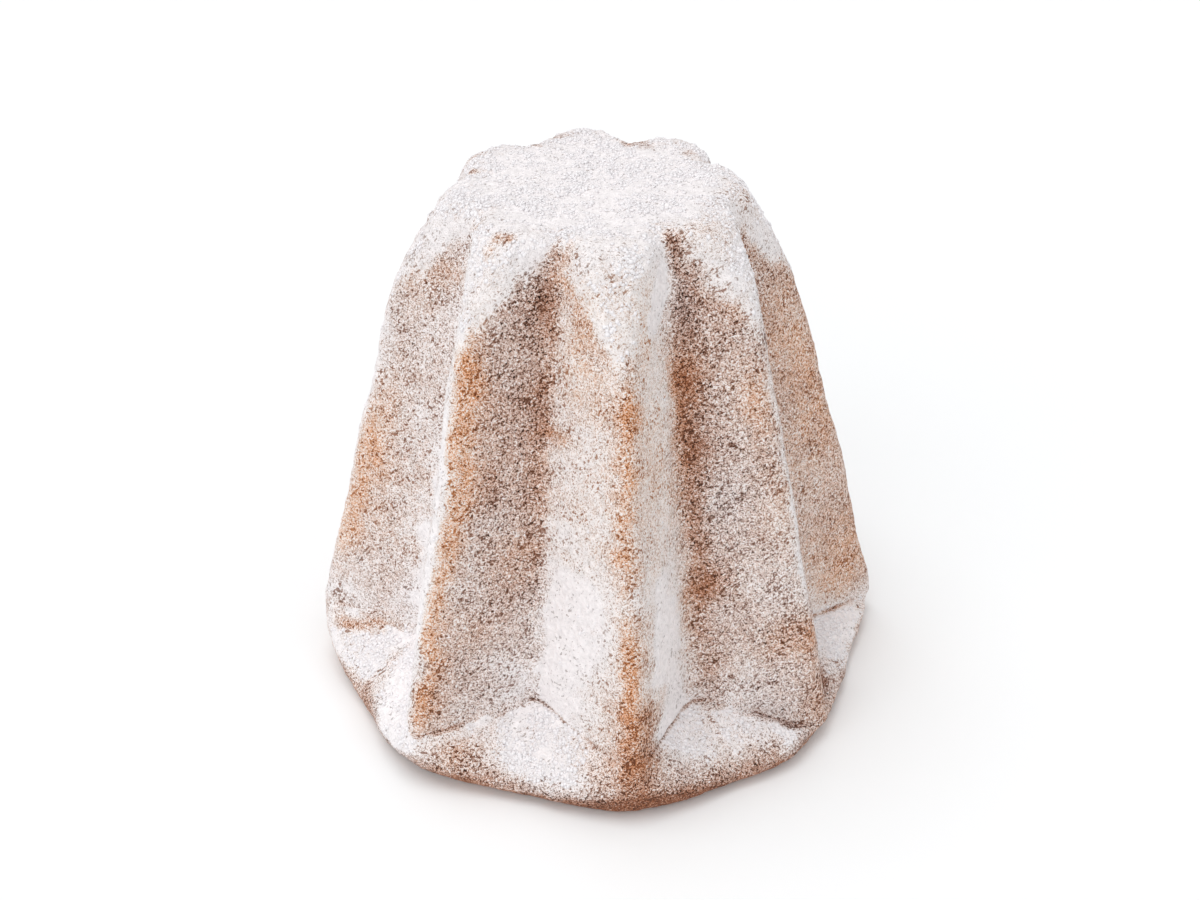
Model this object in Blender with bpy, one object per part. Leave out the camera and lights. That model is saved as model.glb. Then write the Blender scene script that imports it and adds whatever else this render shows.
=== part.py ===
"""Uncut pandoro: a tall sweet bread baked in an eight-pointed star mould and turned out upside down.

Metres, +Z up. The cake stands on its wide, open-mould end. The origin is the middle of the
underside's bounding box. Ridge 0 points to -Y, and the ridges are numbered counter-clockwise
seen from above, so ridge 2 points to +X. Rings of points run round the star from the underside
up to the flat top, and are bridged into one closed skin.
"""
import math

import bmesh
import bpy

for old in list(bpy.data.objects):
    bpy.data.objects.remove(old, do_unlink=True)

MM = 0.001
RIDGES = 8
HALF_SECTOR = math.pi / RIDGES          # angle from a ridge to the valley beside it

# The star
HEIGHT = 184 * MM
TIP_RADIUS_FLOOR = 111.8 * MM           # sharp ridge line, carried down to the floor
TIP_RADIUS_BREAK = 71.6 * MM            # the same line at the height where the shoulders begin
BREAK_HEIGHT = 156 * MM
VALLEY_RADIUS_FLOOR = 77.5 * MM         # sharp valley line, carried down to the floor
VALLEY_RADIUS_TOP = 43 * MM
RIDGE_ROUNDING = 16 * MM                # blend lengths across the ridge and valley lines
VALLEY_ROUNDING = 5 * MM

# The shoulders: each ridge is cut off by one shallow cone that runs up to the flat top
CONE_RADIUS_TOP = 50 * MM
CONE_SLOPE = 0.621                      # growth of the cone's radius per unit of height downwards
BREAK_BLEND = 10 * MM
BREAK_BELOW_TOP = 12 * MM               # the shoulders begin at least this far below the top
TOP_BLEND = 3 * MM

# Rounding between the parts of the side profile, from the underside to the top
FOOT_ROUNDING = 5 * MM
RIM_ROUNDING = 7 * MM
PILLOW_ROUNDING = 12 * MM
CREASE_ROUNDING = 2 * MM
BREAK_ROUNDING = 9 * MM
TOP_ROUNDING = 7 * MM
PILLOW_LIFT = 1.6 * MM                  # how far the risen rim swells above a straight ledge
PILLOW_FULL_WIDTH = 15 * MM             # ledges narrower than this swell less
RIM_BELOW_CREASE = 0.8                  # the widest point of the rim is never higher than this share

# The dough rose over the mould's edge: ledges in the valleys, no two alike.
# Sixteen values each, in millimetres: ridge 0, the valley after it, ridge 1 and so on.
CREASE_HEIGHT = (21, 20.5, 8, 15, 10, 11, 10, 13, 15, 18, 22, 24, 26, 24, 18, 24.5)
RIM_HEIGHT = (11, 6.5, 11, 6, 7.5, 6, 10, 6, 11, 7, 12, 8, 14, 8, 11, 7)
RIM_RADIUS = (105.5, 102.5, 101.2, 99.5, 106, 100, 105, 100, 105, 100, 105, 100, 104, 99.5, 107, 100.5)
FOOT_RADIUS = (102.5, 98.5, 98, 94, 99, 97, 100, 97, 100, 97, 100, 97, 99.5, 97, 100.5, 96.5)
CONE_SHIFT = (0, 0, 0, 0, -2.5, -1.5, 2, 2.5, 4, 1, 1, -2, -1, 0, 0, 0)
# How far each valley's foot stands clockwise of the middle between its two ridges, seen from above
VALLEY_ASIDE = (0, 4.4, 0, -1, 0, 1.5, 0, -1.5, 0, 1, 0, -1, 0, 1, 0, 2)
# One value for each ridge, in millimetres.
TIP_SHIFT = (0, -3, 2.8, 0, 0, 0, 1.8, 0)
TIP_LEAN = (0, 0, -5.2, 0, 0, 0, -1, 0)      # further shift at the height of the break
SIDE_SWELL = (1, 0.5, 1.9, 0.5, 0.5, 0.5, -0.2, 0.5)

# Places where the risen rim bulges further out: phase, extra radius and half width in phases
RIM_BULGES = (
    (0.75, 3.4 * MM, 0.20),
)
# Soft dents and swells of the baked skin: height, turns round the cake, length up it and phase
DENTS = (
    (0.30 * MM, 5, 61 * MM, 0.4),
    (0.20 * MM, 11, 43 * MM, 2.1),
    (0.12 * MM, 17, 33 * MM, 4.0),
)
DENT_FADE = 15 * MM                     # the dents die out this near the underside and the top

# Mesh density
SECTOR_STOPS = (0.0, 0.09, 0.2, 0.38, 0.6, 0.8, 0.93)   # shares of a half sector, ridge to valley
SPAN_STEPS = (3, 1, 2, 2, 13, 4, 4)     # rings along each straight part of the profile
CORNER_STEPS = (3, 4, 3, 3, 4, 4)       # rings round each rounded corner

CRUST_COLOUR = (0.64, 0.51, 0.45, 1.0)
CRUST_ROUGHNESS = 0.92


def smooth_min(a, b, blend):
    """The lesser of two lengths, blended where they are closer than the blend length."""
    near = max(blend - abs(a - b), 0.0) / blend
    return min(a, b) - near * near * blend / 4


def smooth_max(a, b, blend):
    return -smooth_min(-a, -b, blend)


def around(values, phase):
    """A value between the listed ones, which stand at whole phases and repeat round the cake."""
    before = math.floor(phase)
    share = phase - before
    share = share * share * (3 - 2 * share)
    count = len(values)
    return MM * (values[before % count] * (1 - share) + values[(before + 1) % count] * share)


def from_ridge(azimuth):
    """Angle between an azimuth and its nearest ridge."""
    phase = azimuth / (2 * HALF_SECTOR)
    return abs(phase - round(phase)) * 2 * HALF_SECTOR


def star_radius(turn, tip, valley):
    """Radius of the rounded star at an angle from its nearest ridge."""
    def panel(angle):
        edge = tip * math.sin(angle) + valley * math.sin(HALF_SECTOR - angle)
        return tip * valley * math.sin(HALF_SECTOR) / edge

    ridge = smooth_min(panel(turn), panel(-turn), RIDGE_ROUNDING)
    return smooth_max(ridge, panel(2 * HALF_SECTOR - turn), VALLEY_ROUNDING)


def bulge(phase):
    """Extra radius of the risen rim."""
    return sum(
        size * math.exp(-(((phase - centre + RIDGES / 2) % RIDGES - RIDGES / 2) / width) ** 2)
        for centre, size, width in RIM_BULGES
    )


def mix(a, b, share):
    return tuple(p * (1 - share) + q * share for p, q in zip(a, b))


def side_corners(azimuth):
    """The side profile's corners at an azimuth, as (radius, height), with their rounding."""
    phase = azimuth / (2 * HALF_SECTOR)
    turn_top = from_ridge(azimuth)
    turn_floor = from_ridge(azimuth + around(VALLEY_ASIDE, 2 * phase) / VALLEY_RADIUS_FLOOR)
    tip_floor = TIP_RADIUS_FLOOR + around(TIP_SHIFT, phase)
    tip_slope = (TIP_RADIUS_BREAK - TIP_RADIUS_FLOOR + around(TIP_LEAN, phase)) / BREAK_HEIGHT
    star_floor = star_radius(turn_floor, tip_floor, VALLEY_RADIUS_FLOOR)
    star_top = star_radius(turn_top, tip_floor + tip_slope * HEIGHT, VALLEY_RADIUS_TOP)
    slope = (star_top - star_floor) / HEIGHT

    crease = around(CREASE_HEIGHT, 2 * phase)
    crease_radius = star_floor + slope * crease
    out = bulge(phase)
    foot = around(FOOT_RADIUS, 2 * phase) + out
    rim = max(around(RIM_RADIUS, 2 * phase) + out, crease_radius)
    rim_height = min(around(RIM_HEIGHT, 2 * phase), crease * RIM_BELOW_CREASE)

    cone_top = CONE_RADIUS_TOP + around(CONE_SHIFT, 2 * phase)
    cone_floor = cone_top + CONE_SLOPE * HEIGHT
    meeting = (cone_floor - star_floor) / (slope + CONE_SLOPE)
    break_height = smooth_min(meeting, HEIGHT - BREAK_BELOW_TOP, BREAK_BLEND)
    break_radius = min(star_floor + slope * break_height, cone_floor - CONE_SLOPE * break_height)
    top_radius = smooth_min(star_top, cone_top, TOP_BLEND)

    ledge = rim - crease_radius
    lift = PILLOW_LIFT * min(1.0, ledge / PILLOW_FULL_WIDTH)
    pillow = ((rim + crease_radius) / 2, (rim_height + crease) / 2 + lift)
    return crease, break_height, phase, (
        ((0.0, 0.0), 0.0),
        ((foot, 0.0), FOOT_ROUNDING),
        ((rim, rim_height), RIM_ROUNDING),
        (pillow, PILLOW_ROUNDING),
        ((crease_radius, crease), CREASE_ROUNDING),
        ((break_radius, break_height), BREAK_ROUNDING),
        ((top_radius, HEIGHT), TOP_ROUNDING),
        ((0.0, HEIGHT), 0.0),
    )


def rounded_profile(corners):
    """Points along a chain of corners, each rounded by a quadratic curve."""
    points = [corners[0][0]]
    for index in range(1, len(corners) - 1):
        before, here, after = (corners[index + step][0] for step in (-1, 0, 1))
        reach = []
        for other in (before, after):
            length = math.dist(here, other)
            share = min(corners[index][1], 0.48 * length) / max(length, 1e-9)
            reach.append(mix(here, other, share))
        start, end = reach
        last = points[-1]
        steps = SPAN_STEPS[index - 1]
        points += [mix(last, start, step / steps) for step in range(1, steps)]
        bends = CORNER_STEPS[index - 1]
        for bend in range(bends):
            share = bend / (bends - 1)
            points.append(mix(mix(start, here, share), mix(here, end, share), share))
    last = points[-1]
    steps = SPAN_STEPS[len(corners) - 2]
    points += [mix(last, corners[-1][0], step / steps) for step in range(1, steps + 1)]
    return points


def dent(azimuth, height):
    return sum(
        size * math.sin(turns * azimuth + phase) * math.sin(2 * math.pi * height / length + 2 * phase)
        for size, turns, length, phase in DENTS
    )


def column(azimuth):
    """One column of the skin, from the middle of the underside to the middle of the top."""
    crease, break_height, phase, corners = side_corners(azimuth)
    swell = around(SIDE_SWELL, phase)
    points = []
    for radius, height in rounded_profile(corners):
        climb = min(max((height - crease) / (break_height - crease), 0.0), 1.0)
        radius += swell * 4 * climb * (1 - climb)
        if 0.0 < height < HEIGHT:
            radius += dent(azimuth, height) * min(1.0, height / DENT_FADE, (HEIGHT - height) / DENT_FADE)
        points.append((radius * math.sin(azimuth), -radius * math.cos(azimuth), height))
    return points


def azimuths():
    """Azimuths round the cake, closest together at the ridges and the valleys."""
    turns = []
    for ridge in range(RIDGES):
        centre = 2 * HALF_SECTOR * ridge
        turns += [centre + HALF_SECTOR * stop for stop in SECTOR_STOPS]
        turns.append(centre + HALF_SECTOR)
        turns += [centre + HALF_SECTOR * (2 - stop) for stop in reversed(SECTOR_STOPS[1:])]
    return turns


def make_cake(name):
    columns = [column(azimuth) for azimuth in azimuths()]
    flat = [point for points in columns for point in points]
    shift_x, shift_y = (
        -(min(point[axis] for point in flat) + max(point[axis] for point in flat)) / 2
        for axis in (0, 1)
    )

    mesh = bmesh.new()

    def add(point):
        return mesh.verts.new((point[0] + shift_x, point[1] + shift_y, point[2]))

    underside, summit = add(columns[0][0]), add(columns[0][-1])
    rings = [
        [add(points[level]) for points in columns]
        for level in range(1, len(columns[0]) - 1)
    ]
    around_count = len(columns)
    for this in range(around_count):
        after = (this + 1) % around_count
        mesh.faces.new((underside, rings[0][after], rings[0][this]))
        for low, high in zip(rings, rings[1:]):
            mesh.faces.new((low[this], low[after], high[after], high[this]))
        mesh.faces.new((rings[-1][this], rings[-1][after], summit))
    bmesh.ops.triangulate(mesh, faces=mesh.faces[:])

    data = bpy.data.meshes.new(name)
    mesh.to_mesh(data)
    mesh.free()
    data.shade_smooth()
    data.set_sharp_from_angle(angle=math.radians(50))
    cake = bpy.data.objects.new(name, data)
    bpy.context.scene.collection.objects.link(cake)
    return cake


def crust_material(name):
    material = bpy.data.materials.new(name)
    material.use_nodes = True
    shader = material.node_tree.nodes["Principled BSDF"]
    shader.inputs["Base Color"].default_value = CRUST_COLOUR
    shader.inputs["Roughness"].default_value = CRUST_ROUGHNESS
    shader.inputs["Metallic"].default_value = 0.0
    return material


cake = make_cake("pandoro")
cake.data.materials.append(crust_material("sugared_crust"))
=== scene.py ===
"""Looks of an uncut pandoro under icing sugar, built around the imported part.

Metres, +Z up, ridge 0 to -Y. Azimuth grows from -Y towards +X. A phase is an azimuth counted in
ridges: ridges stand at whole phases, valleys half way between them.
"""

import math

import bpy
import numpy as np
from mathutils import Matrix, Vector


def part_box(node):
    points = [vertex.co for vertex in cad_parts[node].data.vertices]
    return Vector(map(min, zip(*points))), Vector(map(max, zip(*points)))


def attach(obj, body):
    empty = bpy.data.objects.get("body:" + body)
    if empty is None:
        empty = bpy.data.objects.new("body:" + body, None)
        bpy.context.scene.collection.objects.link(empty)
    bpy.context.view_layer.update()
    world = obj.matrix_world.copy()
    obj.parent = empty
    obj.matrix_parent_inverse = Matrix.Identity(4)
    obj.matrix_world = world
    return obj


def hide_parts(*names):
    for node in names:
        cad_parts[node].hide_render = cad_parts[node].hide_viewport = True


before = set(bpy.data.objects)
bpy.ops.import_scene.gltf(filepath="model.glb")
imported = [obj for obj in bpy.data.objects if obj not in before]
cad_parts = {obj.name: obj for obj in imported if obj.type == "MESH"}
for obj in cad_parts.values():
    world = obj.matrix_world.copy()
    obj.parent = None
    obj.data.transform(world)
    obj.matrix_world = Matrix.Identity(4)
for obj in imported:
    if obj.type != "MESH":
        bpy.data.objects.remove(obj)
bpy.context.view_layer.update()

MM = 0.001
SEED = 750

# ---------------------------------------------------------------- the cake's form, as the solid has it
RIDGES = 8
HALF_SECTOR = math.pi / RIDGES
HEIGHT = 184 * MM
TIP_RADIUS_FLOOR = 111.8 * MM
TIP_RADIUS_BREAK = 71.6 * MM
BREAK_HEIGHT = 156 * MM
VALLEY_RADIUS_FLOOR = 77.5 * MM
VALLEY_RADIUS_TOP = 43 * MM
RIDGE_ROUNDING = 16 * MM
VALLEY_ROUNDING = 5 * MM
CONE_RADIUS_TOP = 50 * MM
CONE_SLOPE = 0.621
BREAK_BLEND = 10 * MM
BREAK_BELOW_TOP = 12 * MM
TOP_BLEND = 3 * MM
FOOT_ROUNDING = 5 * MM
RIM_ROUNDING = 7 * MM
PILLOW_ROUNDING = 12 * MM
CREASE_ROUNDING = 2 * MM
BREAK_ROUNDING = 9 * MM
TOP_ROUNDING = 7 * MM
PILLOW_LIFT = 1.6 * MM
PILLOW_FULL_WIDTH = 15 * MM
RIM_BELOW_CREASE = 0.8
CREASE_HEIGHT = (21, 20.5, 8, 15, 10, 11, 10, 13, 15, 18, 22, 24, 26, 24, 18, 24.5)
RIM_HEIGHT = (11, 6.5, 11, 6, 7.5, 6, 10, 6, 11, 7, 12, 8, 14, 8, 11, 7)
RIM_RADIUS = (105.5, 102.5, 101.2, 99.5, 106, 100, 105, 100, 105, 100, 105, 100, 104, 99.5, 107, 100.5)
FOOT_RADIUS = (102.5, 98.5, 98, 94, 99, 97, 100, 97, 100, 97, 100, 97, 99.5, 97, 100.5, 96.5)
CONE_SHIFT = (0, 0, 0, 0, -2.5, -1.5, 2, 2.5, 4, 1, 1, -2, -1, 0, 0, 0)
VALLEY_ASIDE = (0, 4.4, 0, -1, 0, 1.5, 0, -1.5, 0, 1, 0, -1, 0, 1, 0, 2)
TIP_SHIFT = (0, -3, 2.8, 0, 0, 0, 1.8, 0)
TIP_LEAN = (0, 0, -5.2, 0, 0, 0, -1, 0)      # further shift at the height of the break
SIDE_SWELL = (1, 0.5, 1.9, 0.5, 0.5, 0.5, -0.2, 0.5)
RIM_BULGES = (
    (0.75, 3.4 * MM, 0.20),
)
DENTS = (
    (0.30 * MM, 5, 61 * MM, 0.4),
    (0.20 * MM, 11, 43 * MM, 2.1),
    (0.12 * MM, 17, 33 * MM, 4.0),
)
DENT_FADE = 15 * MM
FOOT_FADE = 3 * MM                      # the fine relief grows from nothing at the floor

# ---------------------------------------------------------------- mesh density of the shown surface
PANEL_COLUMNS = 35                      # columns from a ridge to the next valley
PANEL_RATIO = 0.72                      # valley radius over tip radius, for even columns
SPAN_STEPS = (1, 2, 5, 7, 76, 14, 1)
CORNER_STEPS = (6, 9, 5, 8, 8, 9)
CORNER_REACH = 0.48                     # most of a straight stretch that one rounding takes
TOP_PITCH = 1.3 * MM
UNDERSIDE_PITCH = 9 * MM
FEWEST_COLUMNS = 8

# ---------------------------------------------------------------- noise
NOISE_TABLE = 48                        # cells along each side before the noise repeats
NOISE_ORIGIN = 1000.37                  # keeps all places positive
NOISE_SHIFT = 7.13                      # further along for each seed
NOISE_LAYERS = 3
NOISE_GAIN = 0.55
# Cell size and seed of each kind
BLOTCH = (26 * MM, 1)
PATCHY = (11 * MM, 5)
RAGGED = (5 * MM, 9)
TOASTING = (19 * MM, 13)
SWELLS = (21 * MM, 31)
BUMPS = (6.5 * MM, 37)
COARSE_GRAIN = (3.2 * MM, 41)
FINE_GRAIN = (1.9 * MM, 43)
DRIFTS = (7 * MM, 53)
CREASE_BREAKS = (5 * MM, 61)
SPOT_EDGES = (2.2 * MM, 71)

# ---------------------------------------------------------------- fine relief
SWELL_HEIGHT = 0.55 * MM
BUMP_HEIGHT = 0.40 * MM
GRAIN_HEIGHT = 0.30 * MM
STANDING_GRAIN = 0.75                   # share of the grain where the skin stands upright
LYING_GRAIN = 0.9                       # and how much comes on top where it lies
LYING_SLOPE = (0.33, 0.5)               # upward part of the normal over which it begins to lie


def smooth_min(a, b, blend):
    near = np.maximum(blend - np.abs(a - b), 0.0) / blend
    return np.minimum(a, b) - near * near * blend / 4


def smooth_max(a, b, blend):
    return -smooth_min(-a, -b, blend)


def smooth_step(low, high, value):
    share = np.clip((value - low) / (high - low), 0.0, 1.0)
    return share * share * (3 - 2 * share)


def around(values, phase):
    """A value between the listed ones, which stand at whole phases and repeat round the cake."""
    values = np.asarray(values, float)
    before = np.floor(phase).astype(int)
    share = phase - before
    share = share * share * (3 - 2 * share)
    count = len(values)
    return values[before % count] * (1 - share) + values[(before + 1) % count] * share


def from_ridge(azimuth):
    """Angle between an azimuth and its nearest ridge."""
    phase = azimuth / (2 * HALF_SECTOR)
    return np.abs(phase - np.round(phase)) * 2 * HALF_SECTOR


def star_radius(turn, tip, valley):
    def panel(angle):
        edge = tip * np.sin(angle) + valley * np.sin(HALF_SECTOR - angle)
        return tip * valley * math.sin(HALF_SECTOR) / edge

    ridge = smooth_min(panel(turn), panel(-turn), RIDGE_ROUNDING)
    return smooth_max(ridge, panel(2 * HALF_SECTOR - turn), VALLEY_ROUNDING)


def nearest_turn(phase, centre):
    return (phase - centre + RIDGES / 2) % RIDGES - RIDGES / 2


def bulge(phase):
    """Extra radius of the risen rim."""
    return sum(
        size * np.exp(-(nearest_turn(phase, centre) / width) ** 2)
        for centre, size, width in RIM_BULGES
    )


def side_corners(azimuth):
    phase = azimuth / (2 * HALF_SECTOR)
    turn_top = from_ridge(azimuth)
    turn_floor = from_ridge(azimuth + MM * around(VALLEY_ASIDE, 2 * phase) / VALLEY_RADIUS_FLOOR)
    tip_floor = TIP_RADIUS_FLOOR + MM * around(TIP_SHIFT, phase)
    tip_slope = (TIP_RADIUS_BREAK - TIP_RADIUS_FLOOR + MM * around(TIP_LEAN, phase)) / BREAK_HEIGHT
    star_floor = star_radius(turn_floor, tip_floor, VALLEY_RADIUS_FLOOR)
    star_top = star_radius(turn_top, tip_floor + tip_slope * HEIGHT, VALLEY_RADIUS_TOP)
    slope = (star_top - star_floor) / HEIGHT

    crease = MM * around(CREASE_HEIGHT, 2 * phase)
    crease_radius = star_floor + slope * crease
    out = bulge(phase)
    foot = MM * around(FOOT_RADIUS, 2 * phase) + out
    rim = np.maximum(MM * around(RIM_RADIUS, 2 * phase) + out, crease_radius)
    rim_height = np.minimum(MM * around(RIM_HEIGHT, 2 * phase), crease * RIM_BELOW_CREASE)

    cone_top = CONE_RADIUS_TOP + MM * around(CONE_SHIFT, 2 * phase)
    cone_floor = cone_top + CONE_SLOPE * HEIGHT
    meeting = (cone_floor - star_floor) / (slope + CONE_SLOPE)
    break_height = smooth_min(meeting, HEIGHT - BREAK_BELOW_TOP, BREAK_BLEND)
    break_radius = np.minimum(star_floor + slope * break_height, cone_floor - CONE_SLOPE * break_height)
    top_radius = smooth_min(star_top, cone_top, TOP_BLEND)

    ledge = rim - crease_radius
    lift = PILLOW_LIFT * np.minimum(1.0, ledge / PILLOW_FULL_WIDTH)
    zero = np.zeros_like(azimuth)
    corners = (
        (zero, zero, 0.0),
        (foot, zero, FOOT_ROUNDING),
        (rim, rim_height, RIM_ROUNDING),
        ((rim + crease_radius) / 2, (rim_height + crease) / 2 + lift, PILLOW_ROUNDING),
        (crease_radius, crease, CREASE_ROUNDING),
        (break_radius, break_height, BREAK_ROUNDING),
        (top_radius, zero + HEIGHT, TOP_ROUNDING),
        (zero, zero + HEIGHT, 0.0),
    )
    return corners, {
        "phase": phase, "crease": crease, "break": break_height, "ledge": ledge,
    }


def rounded_profile(corners):
    """Rings of (radius, height) along the corners, without the two flat discs."""
    flat = [np.stack(corner[:2], -1) for corner in corners]
    rings = []
    for index in range(1, len(flat) - 1):
        before, here, after = flat[index - 1], flat[index], flat[index + 1]
        reach = []
        for other in (before, after):
            length = np.linalg.norm(other - here, axis=-1, keepdims=True)
            share = np.minimum(corners[index][2], CORNER_REACH * length) / np.maximum(length, 1e-9)
            reach.append(here * (1 - share) + other * share)
        start, end = reach
        if rings:
            steps = SPAN_STEPS[index - 1]
            last = rings[-1]
            for step in range(1, steps):
                rings.append(last + (start - last) * (step / steps))
        bends = CORNER_STEPS[index - 1]
        for bend in range(bends):
            share = bend / (bends - 1)
            low, high = start + (here - start) * share, here + (end - here) * share
            rings.append(low + (high - low) * share)
    return np.stack(rings)


def dent(azimuth, height):
    return sum(
        size * np.sin(turns * azimuth + phase) * np.sin(2 * math.pi * height / length + 2 * phase)
        for size, turns, length, phase in DENTS
    )


def lattice_noise(points, cell, seed):
    """Smooth noise from -1 to 1 with cells of the given size, the same each run."""
    table = np.random.default_rng(SEED + seed).random((NOISE_TABLE,) * 3) * 2 - 1
    place = points / cell + NOISE_ORIGIN + seed * NOISE_SHIFT
    base = np.floor(place).astype(int)
    share = place - base
    share = share * share * (3 - 2 * share)
    total = 0.0
    for corner in range(8):
        step = np.array([corner & 1, corner >> 1 & 1, corner >> 2 & 1])
        index = (base + step) % NOISE_TABLE
        weight = np.prod(np.where(step == 1, share, 1 - share), axis=-1)
        total = total + weight * table[index[..., 0], index[..., 1], index[..., 2]]
    return total


def layered_noise(points, cell, seed):
    """Noise with finer and weaker layers on it, whose seeds lie 17 apart."""
    total, size, reach = 0.0, 1.0, 0.0
    for layer in range(NOISE_LAYERS):
        total = total + size * lattice_noise(points, cell / 2 ** layer, seed + 17 * layer)
        reach += size
        size *= NOISE_GAIN
    return total / reach


def column_azimuths():
    stops = np.arange(PANEL_COLUMNS) / PANEL_COLUMNS
    side = np.arctan2(
        stops * PANEL_RATIO * math.sin(HALF_SECTOR),
        1 - stops + stops * PANEL_RATIO * math.cos(HALF_SECTOR),
    )
    back = 2 * HALF_SECTOR - np.concatenate([side[1:], [HALF_SECTOR]])[::-1]
    sector = np.concatenate([side, back])
    return np.concatenate([sector + 2 * HALF_SECTOR * ridge for ridge in range(RIDGES)])


# ---------------------------------------------------------------- sugar and toasting over the surface
# Share of the crust that sugar hides low and high on each panel: after ridge 0, before ridge 1 ...
PANEL_SUGAR_LOW = (
    0.97, 0.76, 0.70, 0.70, 0.66, 0.76, 0.66, 0.74, 0.68, 0.80, 0.66, 0.74, 0.78, 0.96, 0.72, 1.02,
)
PANEL_SUGAR_HIGH = (
    0.86, 0.72, 0.68, 0.58, 0.60, 0.70, 0.58, 0.68, 0.62, 0.74, 0.60, 0.68, 0.76, 0.94, 0.56, 0.87,
)
PANEL_BLEND = 0.10                      # share of a panel over which it fades into the next
TOAST_MEAN = 0.26
TOAST_SPREAD = 0.20
# Height in millimetres where the thick sugar of the shoulders begins on each ridge
SHOULDER_EDGE = (150, 150, 146, 158, 143, 157, 148, 152)
SHOULDER_CLIMB = 62 * MM                # its rise towards the valleys, for each whole phase
SHOULDER_SUGAR = 0.965
SHOULDER_SOFTNESS = 3.5 * MM            # half the height over which the thick sugar fades out
DRIFT_PHASE = 0.80                      # where it fades out over a longer height
DRIFT_WIDTH = 0.16
DRIFT_SOFTNESS = 8 * MM
FAR_SIDE = (2.0, 2.7)                   # phases from ridge 0 where the far side begins
FAR_SOFTNESS = 4 * MM
LEDGE_WIDTH = 3 * MM                    # narrower ledges hold no sugar of their own
RIM_SUGAR = 0.30
SETTLED_SUGAR = 0.65
SETTLED_HEIGHTS = (2 * MM, 13 * MM)     # where the settled sugar begins and where it is full
LOW_TOAST = 0.12
FOOT_HEIGHTS = (0.5 * MM, 3 * MM)       # sugar is rubbed off below these
FOOT_LOSS = 0.45
UNDER_SLOPE = (0.15, -0.35)             # upward part of the normal over which it begins to hang over
UNDER_LOSS = 0.25
UNDER_TOAST = 0.15
TOP_SUGAR = 1.03
TOP_EDGE_LOSS = 0.07
TOP_TOAST = 0.15
TOP_MIDDLE_COVER = (1.0, 0.4)           # sugar and toasting
UNDERSIDE_COVER = (0.1, 0.4)
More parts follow.
